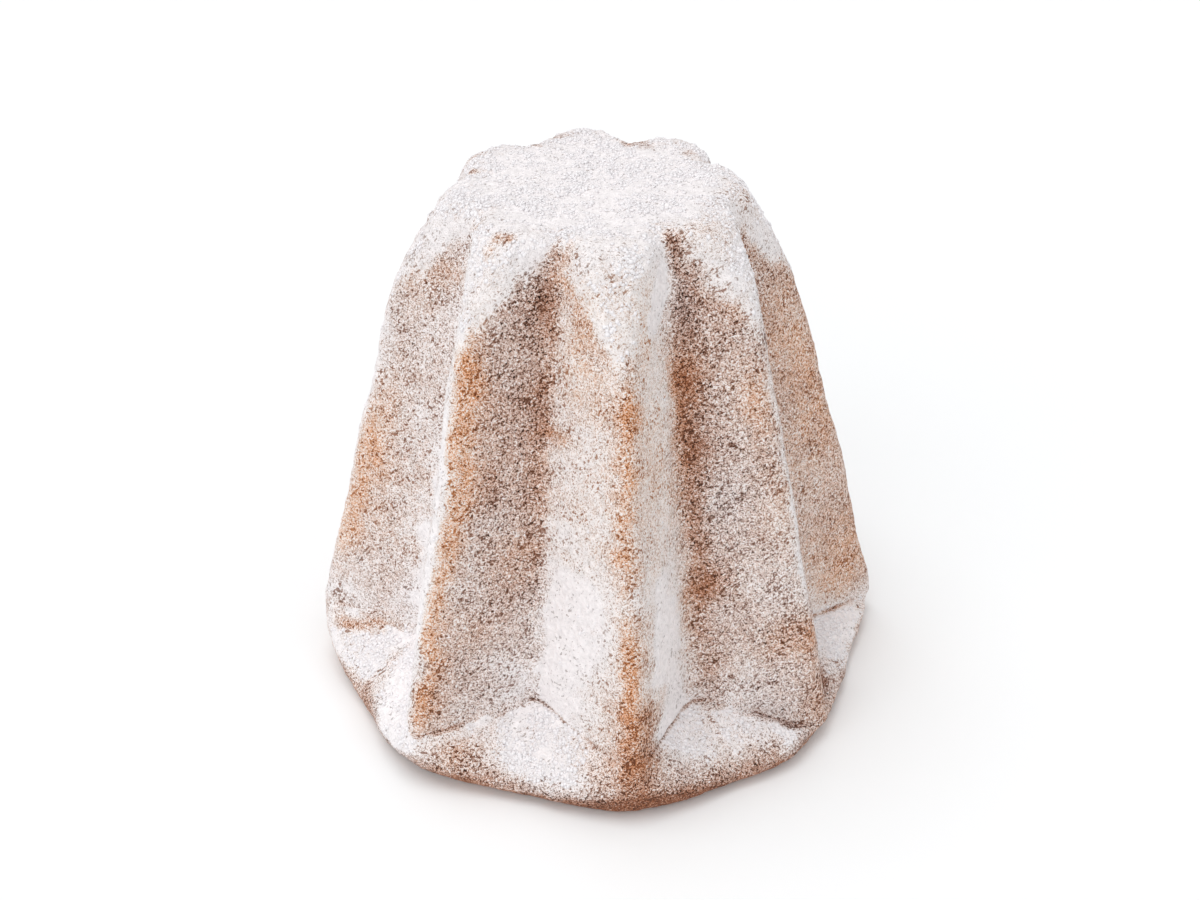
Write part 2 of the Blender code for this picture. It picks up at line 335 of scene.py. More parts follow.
# Rubbed, toasted or thickly sugared places: phase, height and half sizes in millimetres,
# change in sugar, change in toasting
PATCHES = (
    # ridge 0: brown foot and a narrow rubbed line
    (0.01, 33, 8, 13, -0.66, 0.46),
    (0.00, 54, 4, 13, -0.36, 0.50),
    (-0.12, 30, 8, 14, -0.02, 0.12),
    (0.00, 14, 12, 10, -0.78, 0.06),
    (-0.28, 8, 14, 5, 0.14, -0.10),
    (-0.01, 71, 4, 5, -0.10, 0.10),
    (-0.09, 101, 5, 6, 0.10, 0.00),
    (0.02, 4, 26, 6, -0.78, 0.00),
    (0.04, 60, 7, 40, -0.06, 0.05),
    (-0.03, 62, 3, 14, -0.14, 0.40),
    (-0.01, 94, 4, 12, -0.31, 0.42),
    (0.035, 138, 4.2, 10, -0.52, 0.45),
    (-0.02, 118, 4, 12, -0.22, 0.35),
    # panel before ridge 0
    (-0.17, 162, 9, 8, -0.25, 0.36),
    (-0.25, 110, 14, 70, 0.00, 0.22),
    (-0.24, 147, 10, 12, -0.05, 0.20),
    (-0.30, 150, 10, 8, 0.00, 0.20),
    (-0.30, 83, 6, 6, -0.10, 0.20),
    (-0.30, 170, 8, 6, -0.14, 0.28),
    (-0.20, 140, 10, 14, -0.10, 0.20),
    (-0.14, 98, 9, 16, -0.12, 0.15),
    (-0.44, 123, 7, 3, -0.22, 0.35),
    (-0.32, 66, 10, 20, 0.12, -0.20),
    # panel after ridge -1
    (-0.95, 118, 3.5, 40, -0.07, 1.25),
    (-0.96, 58, 3, 32, -0.08, 0.85),
    (-0.96, 27, 6, 9, -0.32, 0.45),
    (-0.90, 60, 4, 7, -0.11, 0.15),
    (-0.82, 108, 4, 7, -0.16, 0.10),
    (-0.72, 174, 7, 5, 0.12, -0.10),
    (-0.88, 130, 5, 12, -0.08, 0.00),
    (-0.55, 70, 6, 6, -0.09, 0.10),
    (-0.50, 101, 5, 11, -0.09, 0.00),
    (-0.52, 140, 7, 7, 0.08, 0.00),
    (-0.53, 27, 6, 4, 0.14, 0.00),
    (-0.44, 163, 5, 8, 0.14, 0.00),
    (-0.40, 174, 8, 7, -0.22, 0.22),
    (-0.57, 108, 7, 20, -0.20, 0.08),
    (-0.70, 72, 6, 18, -0.10, 0.15),
    (-0.57, 134, 8, 9, -0.20, 0.08),
    (-0.57, 162, 6, 8, -0.27, 0.05),
    (-0.60, 80, 9, 7, -0.10, 0.25),
    (-0.80, 50, 6, 7, -0.08, 0.15),
    (-0.60, 35, 11, 16, 0.16, -0.20),
    (-0.80, 15, 10, 5, -0.30, 0.20),
    (-0.98, 6, 12, 9, 0.07, -0.25),
    (-0.82, 9, 12, 7, -0.30, 0.10),
    (-0.93, 128, 5, 14, -0.04, 0.70),
    (-1.00, 146, 4, 12, -0.22, 0.30),
    (-0.97, 112, 3, 9, 0.10, 0.00),
    (-0.97, 12, 8, 5, -0.14, 0.10),
    (-0.50, 6, 24, 5, 0.05, -0.20),
    (-1.01, 110, 2.6, 80, 0.22, -0.06),
    # valley and panel after ridge 0
    (0.61, 176, 5, 8, -0.36, 0.00),
    (0.46, 172, 5, 9, 0.20, -0.10),
    (0.27, 168, 9, 11, 0.25, 0.00),
    (0.49, 95, 5, 55, -0.31, 0.03),
    (0.40, 133, 5, 14, 0.16, 0.00),
    (0.50, 50, 8, 26, -0.22, 0.10),
    (0.47, 26, 6, 7, -0.11, 0.03),
    (0.52, 100, 7, 12, -0.10, 0.10),
    (0.67, 175, 6, 6, -0.30, 0.03),
    (0.53, 159, 5, 11, -0.28, -0.25),
    (0.57, 138, 6, 8, -0.14, 0.05),
    (0.60, 71, 5, 4, -0.10, 0.00),
    (0.36, 167, 6, 10, 0.20, 0.00),
    (0.54, 140, 7, 12, -0.28, 0.12),
    (0.53, 116, 8, 9, -0.30, 0.12),
    (0.68, 104, 8, 24, 0.05, -0.15),
    (0.65, 120, 5, 8, -0.10, 0.00),
    (0.50, 95, 5, 60, -0.08, 0.05),
    (0.57, 66, 8, 8, -0.25, 0.10),
    (0.85, 158, 4, 4, -0.20, 0.20),
    (0.92, 130, 6, 10, -0.10, 0.20),
    (0.94, 84, 6, 14, 0.04, 0.15),
    (0.93, 122, 5, 18, -0.06, 0.25),
    (0.70, 7, 5, 5, -0.40, 0.15),
    (0.93, 42, 12, 8, -0.24, 0.35),
    (1.00, 34, 6, 22, -0.10, 0.20),
    (0.97, 12, 12, 12, -0.25, 0.25),
    (1.01, 115, 2, 46, 0.24, -0.05),
    (1.02, 62, 2, 30, 0.18, -0.10),
    (0.80, 12, 14, 10, 0.14, -0.20),
    (0.20, 122, 12, 42, -0.03, 0.52),
    (0.15, 156, 7, 7, -0.10, 0.10),
    (0.22, 21, 12, 7, 0.14, -0.05),
    (0.20, 45, 14, 24, 0.15, 0.24),
    (0.82, 160, 9, 14, -0.18, 0.05),
    (0.76, 96, 14, 38, -0.10, 0.03),
    (0.60, 131, 6, 9, -0.08, 0.03),
    (0.60, 67, 8, 10, -0.08, 0.05),
    (0.81, 165, 7, 9, -0.14, 0.05),
    (0.22, 100, 10, 60, 0.01, 0.16),
    (0.45, 7, 18, 5, -0.12, 0.00),
    # left side
    (-1.91, 98, 5, 20, -0.16, 0.60),
    (-1.94, 68, 4, 20, -0.16, 0.70),
    (-1.84, 92, 8, 14, -0.10, 0.20),
    (-1.80, 22, 8, 2.0, -0.60, 0.35),
    (-1.90, 31, 9, 5, 0.14, -0.10),
    (-1.92, 15, 9, 5, -0.12, 0.10),
    (-1.78, 58, 13, 28, 0.00, 0.10),
    (-1.84, 161, 10, 7, -0.12, 0.05),
    (-1.88, 126, 6, 15, 0.09, 0.00),
    (-1.56, 120, 4, 20, -0.08, 0.10),
    (-1.72, 112, 9, 16, 0.05, 0.00),
    (-1.58, 38, 9, 10, 0.15, -0.20),
    (-1.25, 36, 9, 18, 0.35, -0.30),
    (-1.15, 16, 16, 14, 0.30, -0.35),
    (-1.50, 8, 14, 4, -0.20, 0.10),
    (-1.98, 58, 4, 16, -0.06, 0.50),
    (-1.84, 154, 9, 9, -0.04, 0.25),
    (-1.68, 165, 8, 6, -0.12, 0.20),
    (-1.99, 100, 3, 80, 0.25, -0.10),
    (-1.54, 80, 4, 70, 0.16, -0.10),
    # the far side
    (3.04, 104, 4, 34, -0.14, 0.65),
    (2.80, 60, 12, 18, 0.16, -0.10),
    (3.30, 128, 13, 16, 0.16, 0.00),
    (3.62, 44, 14, 14, 0.18, -0.10),
    (3.96, 76, 4, 30, -0.12, 0.60),
    (4.02, 24, 9, 10, -0.25, 0.40),
    (-3.70, 118, 12, 20, 0.14, 0.00),
    (-3.30, 70, 12, 20, -0.10, 0.20),
    (-2.96, 120, 4, 26, -0.14, 0.60),
    (-2.70, 50, 14, 18, 0.16, -0.10),
    (-2.40, 110, 10, 22, 0.12, 0.00),
    # right side
    (1.92, 95, 6, 34, -0.12, 0.30),
    (1.98, 36, 5, 26, -0.05, 0.25),
    (1.72, 28, 10, 16, 0.10, 0.00),
    (1.80, 100, 14, 60, 0.00, 0.35),
    (1.80, 30, 16, 24, -0.10, 0.35),
    (1.85, 8, 14, 8, 0.25, -0.20),
    (1.80, 132, 12, 22, -0.09, 0.20),
    (1.84, 72, 12, 16, 0.07, 0.00),
    (1.86, 30, 12, 14, 0.00, 0.12),
    (1.62, 7, 14, 8, 0.45, -0.15),
    (1.80, 24, 10, 8, -0.08, 0.10),
    (1.70, 25, 5, 14, 0.12, 0.00),
    (1.94, 130, 5, 22, 0.12, 0.05),
    (1.94, 60, 5, 8, 0.10, 0.10),
    (1.74, 85, 8, 12, -0.06, 0.12),
)


# Spots where the crust shows through the thick sugar of the shoulders and the top, one of painted shade
# and a few that only darken the sugar:
# middle (phase, mm from the axis, mm above the floor), size in mm, change of sugar, change of toast
BARE_AND_SHADED_SPOTS = (
    (-1.34, 48, 183, 2.0, -0.50, 0.60),
    (-1.00, 50, 182, 1.8, -0.50, 0.40),
    (-0.90, 49, 183, 1.8, -0.50, 0.40),
    (-1.02, 53, 179, 2.2, -0.25, 0.30),
    (-0.40, 46, 179, 3.6, -0.36, 0.10),
    (0.55, 44, 182, 2.4, -0.46, 0.00),
    (0.60, 46, 178, 3.4, -0.34, 0.00),
    (0.26, 56, 171, 7.0, -0.09, 0.30),
    (0.20, 62, 160, 7.0, -0.10, 0.35),
    # painted shade: this spot darkens the thick sugar of ridge 0's shoulder where less light falls
    (-0.02, 69, 163, 7.0, -0.08, 0.05),
    (-0.05, 60, 174, 9.0, -0.04, 0.05),
    # these two wide spots only darken the thick sugar a little
    (0.90, 50, 184, 8.0, -0.15, 0.00),
    (1.80, 50, 184, 8.0, -0.10, 0.05),
    (-3.75, 47, 184, 3.6, -0.34, -0.15),
    (-3.45, 45, 184, 3.0, -0.28, -0.15),
    (3.45, 39, 184, 3.4, -0.36, -0.10),
    (3.25, 38, 184, 2.6, -0.34, -0.10),
    (2.75, 42, 184, 2.6, -0.30, 0.00),
    (-2.90, 52, 184, 4.0, -0.25, 0.00),
    (-2.40, 53, 183, 3.0, -0.22, 0.00),
)


GROOVE_HALF_WIDTH = 0.36 * MM
GROOVE_DEPTH = 1.0 * MM
# less sugar along the crease: bare crust in it, and painted shade
GROOVE_BARE_AND_SHADE = 0.55
GROOVE_LEDGES = (4 * MM, 12 * MM)       # widths of ledge over which the crease appears
GROOVE_BREAKS = (-0.75, 0.25)           # noise over which it is whole again
# Stretches where sugar fills the crease over the rim: middle and half width in phases
BURIED_CREASES = ((-1.45, 0.45), (-0.70, 0.13), (0.62, 0.10))


def bare_and_shaded_spots(points):
    """Change of sugar and of toast from the spots where the crust shows, and from the spots that paint
    shade or only darken the sugar.
    """
    ragged = layered_noise(points, *SPOT_EDGES)
    sugar, toast = np.zeros(points.shape[:-1]), np.zeros(points.shape[:-1])
    for phase, away, high, size, change, toasting in BARE_AND_SHADED_SPOTS:
        azimuth = phase * 2 * HALF_SECTOR
        middle = MM * np.array([away * math.sin(azimuth), -away * math.cos(azimuth), high])
        far = np.linalg.norm(points - middle, axis=-1) / (size * MM)
        weight = np.clip(np.exp(-far ** 2) * (1 + 0.9 * ragged), 0, 1)
        sugar += change * weight
        toast += toasting * weight
    return sugar, toast


def panel_sugar(phase, height, noise):
    """Sugar on the panels, blended over their edges, and each panel's own level."""
    blotch, patchy, ragged = noise
    panel = 2 * phase
    index = np.floor(panel).astype(int)
    into = panel - index + 0.07 * patchy + 0.04 * ragged
    climb = np.clip(height / BREAK_HEIGHT, 0, 1)

    def level(step):
        at = (index + step) % (2 * RIDGES)
        return np.array(PANEL_SUGAR_LOW)[at] * (1 - climb) + np.array(PANEL_SUGAR_HIGH)[at] * climb

    own = level(0)
    sugar = own + (level(-1) - own) * 0.5 * (1 - smooth_step(0, PANEL_BLEND, into))
    sugar = sugar + (level(1) - own) * 0.5 * smooth_step(1 - PANEL_BLEND, 1, into)
    return sugar + 0.08 * blotch + 0.10 * patchy + 0.05 * ragged, own


def patch_changes(phase, height, radius, noise):
    """Change of sugar and of toast from the rubbed, toasted and thickly sugared places."""
    blotch, patchy, ragged = noise
    warp_across = 3 * MM * patchy + 1.5 * MM * ragged
    warp_along = 5 * MM * blotch + 2 * MM * ragged
    sugar, toast = np.zeros_like(radius), np.zeros_like(radius)
    for centre, at, half_width, half_height, change, toasting in PATCHES:
        across = nearest_turn(phase, centre) * 2 * HALF_SECTOR * radius + warp_across
        along = height - at * MM + warp_along
        weight = np.exp(-(across / (half_width * MM)) ** 2 - (along / (half_height * MM)) ** 2)
        weight = weight * (1 + 0.5 * ragged)
        sugar += change * weight
        toast += toasting * weight
    return sugar, toast


def shoulder_share(phase, height, noise):
    """1 under the thick sugar of the shoulders, 0 well below it."""
    blotch, patchy, ragged = noise
    ridge = np.round(phase)
    edge = MM * np.array(SHOULDER_EDGE)[ridge.astype(int) % RIDGES]
    edge = edge + SHOULDER_CLIMB * np.abs(phase - ridge)
    over = height - np.minimum(edge, HEIGHT - 1 * MM) + 4 * MM * patchy + 6 * MM * ragged
    far = smooth_step(*FAR_SIDE, np.abs(nearest_turn(phase, 0)))
    over = over + far * (9 * MM * blotch + 6 * MM * patchy)
    drift = np.exp(-(nearest_turn(phase, DRIFT_PHASE) / DRIFT_WIDTH) ** 2)
    soft = SHOULDER_SOFTNESS + DRIFT_SOFTNESS * drift + FAR_SOFTNESS * far
    return smooth_step(-soft, soft, over)


def coverage(points, normals, facts, radius):
    """How much sugar lies at each point, and how toasted the crust under it is, both 0 to 1.

    The small factors on patchy, ragged and blotch only make every border uneven.
    """
    phase, height, up = facts["phase"], points[..., 2], normals[..., 2]
    noise = [layered_noise(points, *kind) for kind in (BLOTCH, PATCHY, RAGGED)]
    patchy, ragged = noise[1:]
    sugar, own = panel_sugar(phase, height, noise)
    sugar_change, toast_change = patch_changes(phase, height, radius, noise)
    sugar = sugar + sugar_change
    toast = TOAST_MEAN + TOAST_SPREAD * layered_noise(points, *TOASTING) + toast_change
    thick = shoulder_share(phase, height, noise)

    # the ledges and the rim hold sugar that settled, less of it lower down
    below = (height <= facts["crease"] - 1 * MM + 2 * MM * ragged) & (facts["ledge"] > LEDGE_WIDTH)
    settled = smooth_step(*SETTLED_HEIGHTS, height + 2 * MM * patchy + 2 * MM * ragged)
    rim = RIM_SUGAR + SETTLED_SUGAR * settled + 0.08 * patchy
    thick = np.where(below, 0.0, thick)
    sugar = np.where(below, rim + 0.8 * (sugar - own), sugar)
    toast = np.where(below, toast + LOW_TOAST * (1 - settled), toast)

    sugar = sugar + (SHOULDER_SUGAR + 0.06 * patchy - sugar) * thick
    # crust showing through in spots, and painted shade on ridge 0's shoulder
    sugar_change, toast_change = bare_and_shaded_spots(points)
    under = smooth_step(*UNDER_SLOPE, up)
    foot = 1 - smooth_step(*FOOT_HEIGHTS, height)
    sugar = (sugar + sugar_change) * (1 - UNDER_LOSS * under) * (1 - FOOT_LOSS * foot)
    toast = toast + toast_change + UNDER_TOAST * under
    return np.clip(sugar, 0.0, 1.0), np.clip(toast, 0.0, 1.0)


def crease_groove(points, facts):
    """The crease over the rim, 0 to 1: broken up, and in places filled with sugar."""
    off_crease = (points[..., 2] - facts["crease"]) / GROOVE_HALF_WIDTH
    groove = np.exp(-off_crease ** 2) * smooth_step(*GROOVE_LEDGES, facts["ledge"])
    groove *= smooth_step(*GROOVE_BREAKS, layered_noise(points, *CREASE_BREAKS))
    for centre, half_width in BURIED_CREASES:
        groove *= smooth_step(0.8, 1.2, np.abs(nearest_turn(facts["phase"], centre)) / half_width)
    return groove


# ---------------------------------------------------------------- the shown skin
def grid_normals(points):
    ring_step = np.gradient(points, axis=0)
    column_step = (np.roll(points, -1, axis=1) - np.roll(points, 1, axis=1)) / 2
    normals = np.cross(column_step, ring_step)
    return normals / np.maximum(np.linalg.norm(normals, axis=-1, keepdims=True), 1e-12)


def relief(points, lying):
    """Height of the baked skin and of the sugar on it over the smooth form."""
    swells = SWELL_HEIGHT * layered_noise(points, *SWELLS)
    bumps = BUMP_HEIGHT * layered_noise(points, *BUMPS)
    grain = lattice_noise(points, *COARSE_GRAIN) + lattice_noise(points, *FINE_GRAIN)
    return swells + bumps + GRAIN_HEIGHT * grain * (STANDING_GRAIN + LYING_GRAIN * lying)


def zipper(outer, inner, outer_angles, inner_angles):
    """Triangles between two closed rings with different numbers of points."""
    faces = []
    i, j, n, m = 0, 0, len(outer), len(inner)
    while i < n or j < m:
        next_outer = outer_angles[i + 1] if i < n else math.inf
        next_inner = inner_angles[j + 1] if j < m else math.inf
        if next_outer <= next_inner:
            faces.append((outer[i % n], outer[(i + 1) % n], inner[j % m]))
            i += 1
        else:
            faces.append((outer[i % n], inner[(j + 1) % m], inner[j % m]))
            j += 1
    return faces


def side_surface(azimuth, corners, facts):
    """Rings of points up the cake's side, without the fine relief, and their radii."""
    profile = rounded_profile(corners)
    radius, height = profile[..., 0].copy(), profile[..., 1].copy()
    climb = np.clip((height - facts["crease"]) / (facts["break"] - facts["crease"]), 0.0, 1.0)
    radius += MM * around(SIDE_SWELL, facts["phase"]) * 4 * climb * (1 - climb)
    fade = np.clip(np.minimum(height, HEIGHT - height) / DENT_FADE, 0.0, 1.0)
    radius += dent(azimuth, height) * fade
    return np.stack([radius * np.sin(azimuth), -radius * np.cos(azimuth), height], -1), radius


def middle_shift(points):
    """The way from the middle of the points' box to the middle of the solid's, level."""
    low, high = points.reshape(-1, 3).min(0), points.reshape(-1, 3).max(0)
    solid_low, solid_high = (np.array(corner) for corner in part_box("pandoro"))
    shift = (solid_low + solid_high) / 2 - (low + high) / 2
    shift[2] = 0.0
    return shift


def side_skin(points, radius, facts):
    """The side's points with their relief, and the sugar and the toasting on them."""
    normals, height = grid_normals(points), points[..., 2]
    facts = {key: np.broadcast_to(value, radius.shape) for key, value in facts.items()}
    sugar, toast = coverage(points, normals, facts, radius)
    groove = crease_groove(points, facts)
    rise = relief(points, smooth_step(*LYING_SLOPE, normals[..., 2])) - GROOVE_DEPTH * groove
    rise *= smooth_step(0.0, FOOT_FADE, height)
    shaped = points + normals * rise[..., None]
    shaped[..., 2] = np.maximum(shaped[..., 2], 0.0)
    shaped[0, :, 2] = 0.0
    # the crease thins the sugar: bare crust and painted shade along it
    return shaped, np.clip(sugar - GROOVE_BARE_AND_SHADE * groove, 0.0, 1.0), toast


def top_skin(flat, share):
    """Points of one ring of the top with their relief, and the sugar and the toasting on them."""
    patchy, blotch = layered_noise(flat, *PATCHY), layered_noise(flat, *BLOTCH)
    shaped = flat.copy()
    shaped[:, 2] += relief(flat, 1.0)
    less_sugar, more_toast = bare_and_shaded_spots(shaped)
    thickness = TOP_SUGAR + 0.05 * patchy + 0.03 * blotch - TOP_EDGE_LOSS * share ** 6
    return shaped, np.clip(thickness + less_sugar, 0, 1), np.clip(TOP_TOAST + more_toast, 0, 1)


def disc(edge, azimuth, radius, height, first, top):
    """A flat disc in rings of fewer and fewer points: its points, sugar, toasting and triangles.

    edge holds the point numbers of the ring it closes, first is the number of its first own point.
    """
    pitch = TOP_PITCH if top else UNDERSIDE_PITCH
    mean = radius.mean()
    places, sugars, toasts, triangles = [], [], [], []
    outer, outer_angles = list(edge), list(azimuth) + [azimuth[0] + 2 * math.pi]
    rings = max(2, int(mean / pitch))
    for step in range(1, rings):
        share = 1 - step / rings
        count = max(FEWEST_COLUMNS, int(2 * math.pi * mean * share / pitch))
        count = min(count, len(outer))
        angles = np.arange(count) / count * 2 * math.pi
        rim = np.interp(angles, list(azimuth) + [2 * math.pi], list(radius) + [radius[0]])
        star = share ** 2
        away = (rim * star + mean * (1 - star)) * share
        place = np.stack([away * np.sin(angles), -away * np.cos(angles), np.full(count, height)], -1)
        if top:
            place, sugar, toast = top_skin(place, share)
        else:
            sugar, toast = (np.full(count, level) for level in UNDERSIDE_COVER)
        places.append(place)
        sugars.append(sugar)
        toasts.append(toast)
        inner, inner_angles = list(range(first, first + count)), list(angles) + [2 * math.pi]
        first += count
        triangles += zipper(outer, inner, outer_angles, inner_angles)
        outer, outer_angles = inner, inner_angles
    middle_sugar, middle_toast = TOP_MIDDLE_COVER if top else UNDERSIDE_COVER
    places.append([[0.0, 0.0, height]])
    sugars.append([middle_sugar])
    toasts.append([middle_toast])
    triangles += [(outer[i], outer[(i + 1) % len(outer)], first) for i in range(len(outer))]
    if not top:
        triangles = [face[::-1] for face in triangles]
    return np.concatenate(places), np.concatenate(sugars), np.concatenate(toasts), triangles


def dusted_piece(name, vertices, faces, sugar, toast):
    """A piece whose points carry their sugar and toasting."""
    mesh = bpy.data.meshes.new(name)
    mesh.from_pydata(vertices.tolist(), [], faces)
    for key, values in (("sugar", sugar), ("toast", toast)):
        attribute = mesh.attributes.new(key, "FLOAT", "POINT")
        attribute.data.foreach_set("value", values.astype(np.float32))
    mesh.shade_smooth()
    piece = bpy.data.objects.new(name, mesh)
    bpy.context.scene.collection.objects.link(piece)
    return piece


def cake_piece(name):
    """The cake, and the shift that brought it over the solid."""
    azimuth = column_azimuths()
    corners, facts = side_corners(azimuth)
    points, radius = side_surface(azimuth, corners, facts)
    shift = middle_shift(points)
    shaped, sugar, toast = side_skin(points, radius, facts)
    vertices, sugars, toasts = [shaped.reshape(-1, 3)], [sugar.ravel()], [toast.ravel()]

    index = np.arange(radius.size).reshape(radius.shape)
    right = np.roll(index, -1, axis=1)
    faces = np.stack([index[:-1], right[:-1], right[1:], index[1:]], -1).reshape(-1, 4).tolist()
    for ring, top in ((-1, True), (0, False)):
        first = sum(len(part) for part in vertices)
        found = disc(index[ring], azimuth, radius[ring], points[ring, 0, 2], first, top)
        vertices.append(found[0])
        sugars.append(found[1])
        toasts.append(found[2])
        faces += [tuple(int(corner) for corner in face) for face in found[3]]

    vertices = np.concatenate(vertices) + shift
    cake = dusted_piece(name, vertices, faces, np.concatenate(sugars), np.concatenate(toasts))
    cake.data.validate()
    return cake, shift


# ---------------------------------------------------------------- loose lumps of sugar
LUMP_COUNT = 13000
LUMP_SMALLEST = 0.30 * MM
LUMP_LARGEST = 1.00 * MM
LUMP_SEED = 101
LUMP_LIFT = 0.1                         # middle over the skin, as a share of the size
LUMP_FLATTENING = 0.5
LUMP_STRETCH = (0.65, 1.35)
LUMP_SUGAR = (0.84, 0.96)               # sugar, upward part of the normal and drift noise over
LUMP_SLOPE = (0.25, 0.6)                # which the lumps go from none to many
LUMP_DRIFT = (-0.5, 0.6)
# Faces of an octahedron whose tips 3 to 5 lie opposite to its tips 0 to 2
LUMP_FACES = (
    (0, 1, 2), (1, 3, 2), (3, 4, 2), (4, 0, 2), (1, 0, 5), (3, 1, 5), (4, 3, 5), (0, 4, 5),
)


def skin_arrays(cake):
    """Points, sugar and toasting of the cake's mesh, and its triangles."""
    mesh = cake.data
    count = len(mesh.vertices)
    places, sugar, toast = np.empty(count * 3), np.empty(count, np.float32), np.empty(count, np.float32)
    mesh.vertices.foreach_get("co", places)
    mesh.attributes["sugar"].data.foreach_get("value", sugar)
    mesh.attributes["toast"].data.foreach_get("value", toast)
    mesh.calc_loop_triangles()
    corners = np.empty(len(mesh.loop_triangles) * 3, int)
    mesh.loop_triangles.foreach_get("vertices", corners)
    return places.reshape(-1, 3), sugar, toast, corners.reshape(-1, 3)


def lump_chance(sugar, place, normal):
    """Lumps lie on thick sugar that faces upwards, in drifts."""
    lying = smooth_step(*LUMP_SLOPE, normal[:, 2])
    drift = smooth_step(*LUMP_DRIFT, layered_noise(place, *DRIFTS))
    return smooth_step(*LUMP_SUGAR, sugar) * lying * drift


def sugar_lumps(name, cake):
    """Loose lumps of sugar lying on the cake: small uneven octahedra, each sunk into the skin."""
    rng = np.random.default_rng(SEED + LUMP_SEED)
    places, sugar, toast, corners = skin_arrays(cake)
    a, b, c = (places[corners[:, which]] for which in range(3))
    cross = np.cross(b - a, c - a)
    area = np.linalg.norm(cross, axis=1)
    normal = cross / np.maximum(area, 1e-12)[:, None]
    weight = area * lump_chance(sugar[corners].mean(1), (a + b + c) / 3, normal)
    picked = rng.choice(len(corners), LUMP_COUNT, p=weight / weight.sum())
    share = rng.random((LUMP_COUNT, 2))
    share = np.where(share.sum(1, keepdims=True) > 1, 1 - share, share)[:, :, None]
    middle = a[picked] + (b - a)[picked] * share[:, 0] + (c - a)[picked] * share[:, 1]
    size = LUMP_SMALLEST + (LUMP_LARGEST - LUMP_SMALLEST) * rng.random(LUMP_COUNT) ** 2
    normal = normal[picked]
    middle = middle + normal * (LUMP_LIFT * size)[:, None]

    turn = np.linalg.qr(rng.normal(size=(LUMP_COUNT, 3, 3)))[0]
    least, most = LUMP_STRETCH
    stretch = least + (most - least) * rng.random((LUMP_COUNT, 3))
    arms = turn * (stretch * size[:, None])[:, :, None]
    standing = (arms * normal[:, None, :]).sum(2, keepdims=True)
    arms = arms - LUMP_FLATTENING * standing * normal[:, None, :]
    tips = np.concatenate([arms, -arms], axis=1) + middle[:, None, :]
    tip_count = tips.shape[1]
    faces = np.array(LUMP_FACES)[None] + tip_count * np.arange(LUMP_COUNT)[:, None, None]
    mirrored = np.linalg.det(turn) < 0
    faces[mirrored] = faces[mirrored][:, :, ::-1]
    cover = (np.repeat(values[corners[picked]].mean(1), tip_count) for values in (sugar, toast))
    return dusted_piece(name, tips.reshape(-1, 3), faces.reshape(-1, 3).tolist(), *cover)


# ---------------------------------------------------------------- materials
class Nodes:
    """A short way to write a node tree."""

    def __init__(self, name):
        self.material = bpy.data.materials.new(name)
        self.material.use_nodes = True
        self.tree = self.material.node_tree
        self.shader = self.tree.nodes["Principled BSDF"]

    def add(self, kind, settings=None, **links):
        """A new node; links go by the name of an input, or by i and its number."""
        node = self.tree.nodes.new(kind)
        for key, value in (settings or {}).items():
            setattr(node, key, value)
        for key, value in links.items():
            numbered = key[0] == "i" and key[1:].isdigit()
            self.feed(node.inputs[int(key[1:]) if numbered else key], value)
        return node

    def feed(self, socket, value):
        if isinstance(value, bpy.types.NodeSocket):
            self.tree.links.new(value, socket)
        else:
            socket.default_value = value

    def math(self, operation, a, b=0.0, c=0.0, clamp=False):
        node = self.add("ShaderNodeMath", {"operation": operation, "use_clamp": clamp}, i0=a, i1=b, i2=c)
        return node.outputs[0]

    def attribute(self, name):
        return self.add("ShaderNodeAttribute", {"attribute_name": name}).outputs["Fac"]

    def noise(self, place, scale, detail, distortion):
        node = self.add(
            "ShaderNodeTexNoise", Vector=place, Scale=scale, Detail=detail, Roughness=0.5,
            Distortion=distortion,
        )
        return node.outputs["Fac"]

    def centred(self, place, scale, detail, distortion):
        """Noise around zero."""
        return self.math("SUBTRACT", self.noise(place, scale, detail, distortion), 0.5)

    def spread(self, value, low, high, new_low, new_high, smooth=True):
        """The value, taken from one range to another and held within it."""
        node = self.add("ShaderNodeMapRange")
        node.interpolation_type = "SMOOTHSTEP" if smooth else "LINEAR"
        for key, number in (("Value", value), ("From Min", low), ("From Max", high),
                            ("To Min", new_low), ("To Max", new_high)):
            self.feed(node.inputs[key], number)
        return node.outputs["Result"]

    def mix(self, share, a, b):
        node = self.add("ShaderNodeMix", {"data_type": "RGBA"})
        self.feed(node.inputs["Factor"], share)
        colours = [socket for socket in node.inputs if socket.type == "RGBA"]
        self.feed(colours[0], a)
        self.feed(colours[1], b)
        return [socket for socket in node.outputs if socket.type == "RGBA"][0]


# Colours from bare crust to thick sugar, as sRGB bytes: plain crust, and crust toasted orange
DUSTING = (
    (0.00, (110, 73, 57), (160, 86, 40)),
    (0.20, (148, 112, 98), (204, 126, 70)),
    (0.40, (182, 154, 145), (226, 160, 114)),
    (0.60, (208, 187, 180), (235, 190, 161)),
    (0.80, (232, 218, 214), (240, 218, 204)),
    (0.95, (250, 245, 246), (250, 242, 238)),
)
